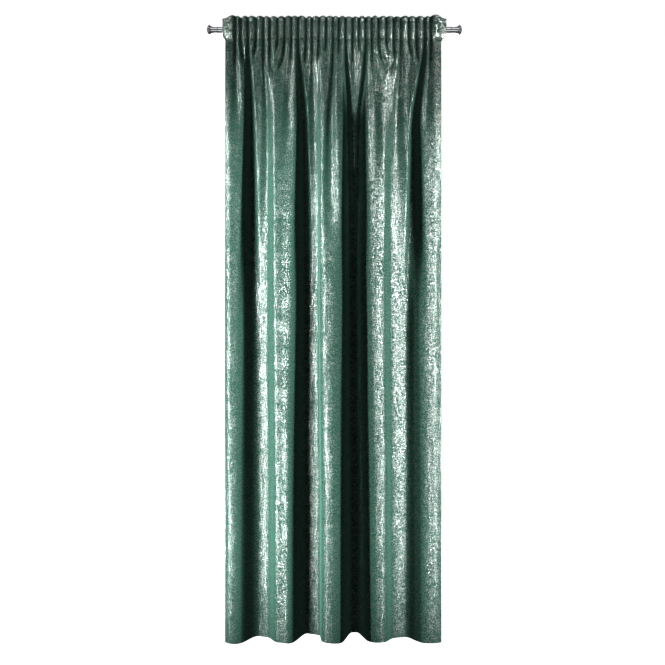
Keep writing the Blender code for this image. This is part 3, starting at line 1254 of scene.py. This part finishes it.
@dataclass
class Stitching:
    """Runs of thread: the two cord rows on the front, and the hems on the reverse."""

    name: str = "sewn_stitches"
    length: float = 3.2 * MM
    pitch: float = 4.6 * MM
    radius: float = 0.3 * MM
    stands_out: float = 0.6
    from_edge: float = 4 * MM
    sides: int = 5

    def along(self, line: np.ndarray, outward: np.ndarray) -> tuple[list[np.ndarray], list[tuple]]:
        """Lays stitches along a line.

        Args:
            line: Points on the cloth's surface.
            outward: The surface's normal at each.

        Returns:
            Points and faces of the stitches.
        """
        walked = np.concatenate([[0], np.cumsum(np.linalg.norm(np.diff(line, axis=0), axis=1))])
        points: list[np.ndarray] = []
        faces: list[tuple] = []
        for start in np.arange(self.pitch, walked[-1] - self.pitch, self.pitch):
            ends = [self.at(line, walked, start + k * self.length / 2) for k in (0, 1, 2)]
            up = self.at(outward, walked, start + self.length / 2)
            self.add(points, faces, ends, up / np.linalg.norm(up))
        return points, faces

    def at(self, values: np.ndarray, walked: np.ndarray, place: float) -> np.ndarray:
        """Returns the value at a place along a line."""
        return np.array([np.interp(place, walked, values[:, k]) for k in range(3)])

    def row_near(self, heights: np.ndarray, height: float) -> int:
        """Returns the index of the row whose height is nearest to this one."""
        return int(np.argmin(np.abs(heights - height)))

    def add(self, points: list, faces: list, ends: list[np.ndarray], up: np.ndarray) -> None:
        """Adds one stitch, a short strand that dips into the cloth at both ends.

        Args:
            points: Gets its points.
            faces: Gets its faces.
            ends: Its start, middle and end on the surface.
            up: The surface's normal.
        """
        first = len(points)
        run = ends[2] - ends[0]
        side = np.cross(run / np.linalg.norm(run), up)
        dip, rise = up * self.radius, up * self.radius * self.stands_out
        centres = [ends[0] - dip, ends[1] + rise, ends[2] - dip]
        for centre in centres:
            for k in range(self.sides):
                turn = 2 * math.pi * k / self.sides
                points.append(centre + self.radius * (math.cos(turn) * side + math.sin(turn) * up))
        for ring in range(len(centres) - 1):
            for k in range(self.sides):
                a = first + ring * self.sides + k
                b = first + ring * self.sides + (k + 1) % self.sides
                faces.append((a, b, b + self.sides, a + self.sides))
        last = first + (len(centres) - 1) * self.sides
        faces.append(tuple(range(first, first + self.sides))[::-1])
        faces.append(tuple(range(last, last + self.sides)))

    def build(self, curtain: Curtain, thread: bpy.types.Material) -> bpy.types.Object:
        """Sews the cloth.

        Args:
            curtain: The built curtain.
            thread: The thread's material.

        Returns:
            The piece.
        """
        grid, normals = curtain.grid, curtain.normals
        surface = curtain.thickness / 2
        reverse = surface + curtain.hem_bulk
        heights = grid[:, grid.shape[1] // 2, 2]
        heights = heights[: int(np.argmax(heights))]
        cords = [self.row_near(heights, cord) for cord in (curtain.upper_cord, curtain.lower_cord)]
        lines = [(grid[row] + normals[row] * surface, normals[row]) for row in cords]
        low = self.row_near(heights, curtain.hem + curtain.bottom_hem - self.from_edge)
        lines.append((grid[low] - normals[low] * reverse, -normals[low]))
        seam = curtain.side_hem - self.from_edge
        inset = max(1, round(curtain.per_return * seam / curtain.return_width))
        rows = slice(low, self.row_near(heights, curtain.flap_end))
        for column in (inset, grid.shape[1] - 1 - inset):
            outward = -normals[rows, column]
            lines.append((grid[rows, column] + outward * reverse, outward))
        points: list[np.ndarray] = []
        faces: list[tuple] = []
        for line, outward in lines:
            new_points, new_faces = self.along(line, outward)
            faces += [tuple(k + len(points) for k in face) for face in new_faces]
            points += new_points
        return mesh_object(self.name, np.array(points), faces, (thread,))


@dataclass
class Finial:
    """A trumpet-shaped turned finial with a bead at its foot and a low domed end."""

    side: Side
    start: float = 468.8 * MM
    length: float = 45.8 * MM
    segments: int = 72
    sharp_from: float = 35

    def build(self, chrome: bpy.types.Material) -> bpy.types.Object:
        """Turns the finial on the end of the rod.

        Args:
            chrome: Its material.

        Returns:
            The piece.
        """
        out = self.side.value
        points = [(out * self.start, 0.0, 0.0)]
        for ring in FINIAL_PROFILE:
            for k in range(self.segments):
                turn = 2 * math.pi * k / self.segments
                y, z = ring.radius * MM * math.cos(turn), ring.radius * MM * math.sin(turn)
                points.append((out * (self.start + ring.along * MM), y, z))
        points.append((out * (self.start + self.length), 0.0, 0.0))
        faces: list[tuple] = []
        last = len(points) - 1
        tip = last - self.segments
        for k in range(self.segments):
            after = (k + 1) % self.segments
            faces.append((0, 1 + after, 1 + k))
            for ring in range(len(FINIAL_PROFILE) - 1):
                a, b = 1 + ring * self.segments + k, 1 + ring * self.segments + after
                faces.append((a, b, b + self.segments, a + self.segments))
            faces.append((tip + k, tip + after, last))
        if self.side is Side.LEFT:
            faces = [face[::-1] for face in faces]
        name = f"turned_finial_{self.side.name.lower()}"
        return mesh_object(name, np.array(points), faces, (chrome,), crease=self.sharp_from)


def area_light(
    name: str,
    place: Sequence[float],
    target: Sequence[float],
    size: tuple[float, float],
    power: float,
    spread: float = 180,
    mirrored: bool = False,
) -> bpy.types.Object:
    """Hangs a soft box, which the camera doesn't see.

    Args:
        name: Its name.
        place: Where it hangs.
        target: What it is aimed at.
        size: Its width and height.
        power: Its power in watts.
        spread: The angle of its grid in degrees.
        mirrored: Whether mirrors show it cleanly. The foil would sparkle too much in such a light.

    Returns:
        The light.
    """
    lamp = bpy.data.lights.new(name, "AREA")
    lamp.shape = "RECTANGLE"
    lamp.size, lamp.size_y = size
    lamp.energy = power
    lamp.spread = math.radians(spread)
    lamp.cycles.use_multiple_importance_sampling = mirrored
    light = bpy.data.objects.new(name, lamp)
    light.location = place
    light.rotation_euler = (Vector(target) - Vector(place)).to_track_quat("-Z", "Y").to_euler()
    light.visible_camera = False
    bpy.context.scene.collection.objects.link(light)
    return light


def hide_from_bounces(piece: bpy.types.Object) -> None:
    """Leaves a thing out of bounced light: foil that faces foil would fill the dark folds."""
    piece.visible_diffuse = False
    piece.visible_glossy = False


@dataclass
class StripLight:
    """A tall soft box at one side of the curtain, gridded so that it stays on its own half."""

    side: Side
    power: float
    reach: float = 1.2
    forward: float = 1.15
    aim: float = 0.24
    middle: float = -1.39
    height: float = 2.06
    width: float = 0.7
    spread: float = 38

    def build(self) -> bpy.types.Object:
        """Hangs the light.

        Returns:
            The light.
        """
        return area_light(
            f"strip_{self.side.name.lower()}",
            place=(self.side.value * self.reach, -self.forward, self.middle),
            target=(self.side.value * self.aim, 0, self.middle),
            size=(self.width, self.height),
            power=self.power,
            spread=self.spread,
        )


@dataclass
class Studio:
    """White paper, black cards, the lights and the camera."""

    floor_height: float = -2.52
    paper_width: float = 9.0
    paper_back: float = 4.6
    paper_front: float = -3.0
    paper_top: float = 1.6
    paper_bend: float = 0.7
    paper_bend_steps: int = 12
    cards: tuple[tuple[float, float], ...] = ((0.034, 0.02), (0.121, 0.15))
    card_gap: float = 3 * MM
    card_lean: float = 0.25
    card_far: float = -1.6
    card_top: float = -0.12
    card_points: int = 90
    strip_powers: tuple[float, float] = (7.6, 5.35)
    small_reach: float = 1.5
    small_forward: float = 0.85
    small_aim: float = 0.24
    small_size: float = 0.3
    back_place: tuple[float, float, float] = (-0.8, 2.2, -0.7)
    back_target: tuple[float, float, float] = (0, 0, -1.2)
    back_size: tuple[float, float] = (1.8, 2.4)
    back_power: float = 65
    chrome_forward: float = 0.9
    chrome_size: tuple[float, float] = (2.2, 0.7)
    room_light: float = 0.02
    backdrop_light: float = 1.0
    lens: float = 46.0
    camera: tuple[float, float, float] = (-0.0079, -3.43, -1.2213)

    def paper(self) -> bpy.types.Object:
        """Rolls out the paper: floor, bend and backdrop in one sheet.

        Returns:
            The paper.
        """
        profile = [(self.paper_front, self.floor_height)]
        for angle in np.linspace(0, math.pi / 2, self.paper_bend_steps + 1):
            y = self.paper_back - self.paper_bend * (1 - math.sin(angle))
            z = self.floor_height + self.paper_bend * (1 - math.cos(angle))
            profile.append((y, z))
        profile.append((self.paper_back, self.paper_top))
        points = [(side.value * self.paper_width / 2, y, z) for y, z in profile for side in Side]
        faces = grid_faces(len(profile), 2, 0, flip=False)
        sheet = mesh_object("studio_floor", np.array(points), faces, (StudioPaper().make(),))
        hide_from_bounces(sheet)
        return sheet

    def card(self, curtain: Curtain, high: float, low: float) -> bpy.types.Object:
        """Stands a black card in front of the cloth's deepest fold, clear of the cloth.

        It keeps a strip light off the other half, as the two lit halves of the
        folds show, and the camera doesn't see it.

        Args:
            curtain: The cloth that it stands clear of.
            high: Its place along the rod at its top.
            low: Its place along the rod at the hem.

        Returns:
            The card.
        """
        heights = np.linspace(curtain.hem, self.card_top, self.card_points)
        places = np.linspace(low, high, self.card_points)
        cloth = curtain.surface(places, heights)
        leans = self.card_lean * ease((heights - self.card_top + self.card_lean) / self.card_lean)
        near = [(x, y - self.card_gap - lean, z) for (x, y, z), lean in zip(cloth, leans)]
        far = [(x, self.card_far, z) for x, _, z in cloth]
        points = np.array([point for pair in zip(near, far) for point in pair])
        faces = grid_faces(self.card_points, 2, 0, flip=False)
        card = mesh_object("black_card", points, faces, (BlackCard().make(),))
        hide_from_bounces(card)
        card.visible_camera = False
        return card

    def light_side(self, side: Side, strip_power: float) -> None:
        """Hangs one side's strip light and its small lights."""
        StripLight(side=side, power=strip_power).build()
        for small in SMALL_LIGHTS:
            light = area_light(
                f"heading_{small.name}_{side.name.lower()}",
                place=(side.value * self.small_reach, -self.small_forward, small.height),
                target=(side.value * self.small_aim, 0, small.aim),
                size=(self.small_size, self.small_size),
                power=small.power,
                spread=small.spread,
            )
            light.visible_diffuse = not small.gloss_only

    def light_chrome(self, chromes: Sequence[bpy.types.Object]) -> None:
        """Hangs two long lights that only light the chrome, over and under it.

        Args:
            chromes: The chrome pieces.
        """
        lit = bpy.data.collections.new("chrome_pieces")
        for piece in chromes:
            lit.objects.link(piece)
        for long_one in CHROME_LIGHTS:
            light = area_light(
                long_one.name,
                place=(0, -self.chrome_forward, long_one.height),
                target=(0, 0, long_one.aim),
                size=self.chrome_size,
                power=long_one.power,
                spread=long_one.spread,
                mirrored=True,
            )
            light.light_linking.receiver_collection = lit

    def surroundings(self) -> None:
        """Gives the room its even light: dim for the cloth, white behind it."""
        world = bpy.data.worlds.new("studio")
        world.use_nodes = True
        tree = world.node_tree
        tree.nodes.clear()
        seen = add_node(tree, "LightPath").outputs["Is Camera Ray"]
        strength = add_node(
            tree, "MapRange", {"Value": seen, "To Min": self.room_light, "To Max": self.backdrop_light}
        )
        shade = add_node(tree, "Background", {"Color": linear("#ffffff"), "Strength": strength.outputs[0]})
        add_node(tree, "OutputWorld", {"Surface": shade.outputs[0]})
        bpy.context.scene.world = world

    def eye(self) -> None:
        """Sets up the camera, level and straight in front."""
        data = bpy.data.cameras.new("camera")
        data.lens = self.lens
        camera = bpy.data.objects.new("camera", data)
        camera.location = self.camera
        camera.rotation_euler = (math.pi / 2, 0, 0)
        bpy.context.scene.collection.objects.link(camera)
        bpy.context.scene.camera = camera

    def build(self, curtain: Curtain) -> None:
        """Sets up everything that isn't part of the object, apart from the chrome's lights.

        Args:
            curtain: The cloth that the lights are set for.
        """
        self.eye()
        self.surroundings()
        self.paper()
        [self.card(curtain, high, low) for high, low in self.cards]
        for side, power in zip(Side, self.strip_powers):
            self.light_side(side, power)
        area_light("back", self.back_place, self.back_target, self.back_size, self.back_power)
        bpy.context.scene.view_settings.view_transform = "Standard"


def place_piece(piece: bpy.types.Object, slot: str, *nodes: str) -> None:
    """Fixes a piece to the model and hides the nodes that it replaces.

    Args:
        piece: The piece.
        slot: Not used.
        *nodes: The nodes that it replaces.
    """
    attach(piece, BODY)
    if nodes:
        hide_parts(*nodes)
    logging.info("%s: %d faces", piece.name, len(piece.data.polygons))


def main() -> None:
    """Builds every piece in order."""
    logging.basicConfig(level=logging.INFO, format="%(message)s")
    curtain = Curtain()
    studio = Studio()
    studio.build(curtain)
    chrome = ChromePlate().make()
    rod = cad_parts["rod"]
    rod.data.materials[0] = chrome
    logging.info("rod: keeps its own shape, with %s", chrome.name)
    chromes = [rod]
    for side in Side:
        chromes.append(Finial(side).build(chrome))
        place_piece(chromes[-1], "chrome", f"finial_{side.name.lower()}")
    studio.light_chrome(chromes)
    cloth = curtain.build(FoilPrintedVelvet().make(), KnittedReverse().make())
    hide_from_bounces(cloth)
    place_piece(cloth, "velvet", "curtain_panel")
    stitches = Stitching().build(curtain, PolyesterThread().make())
    place_piece(stitches, "velvet")


if __name__ == "__main__":
    main()
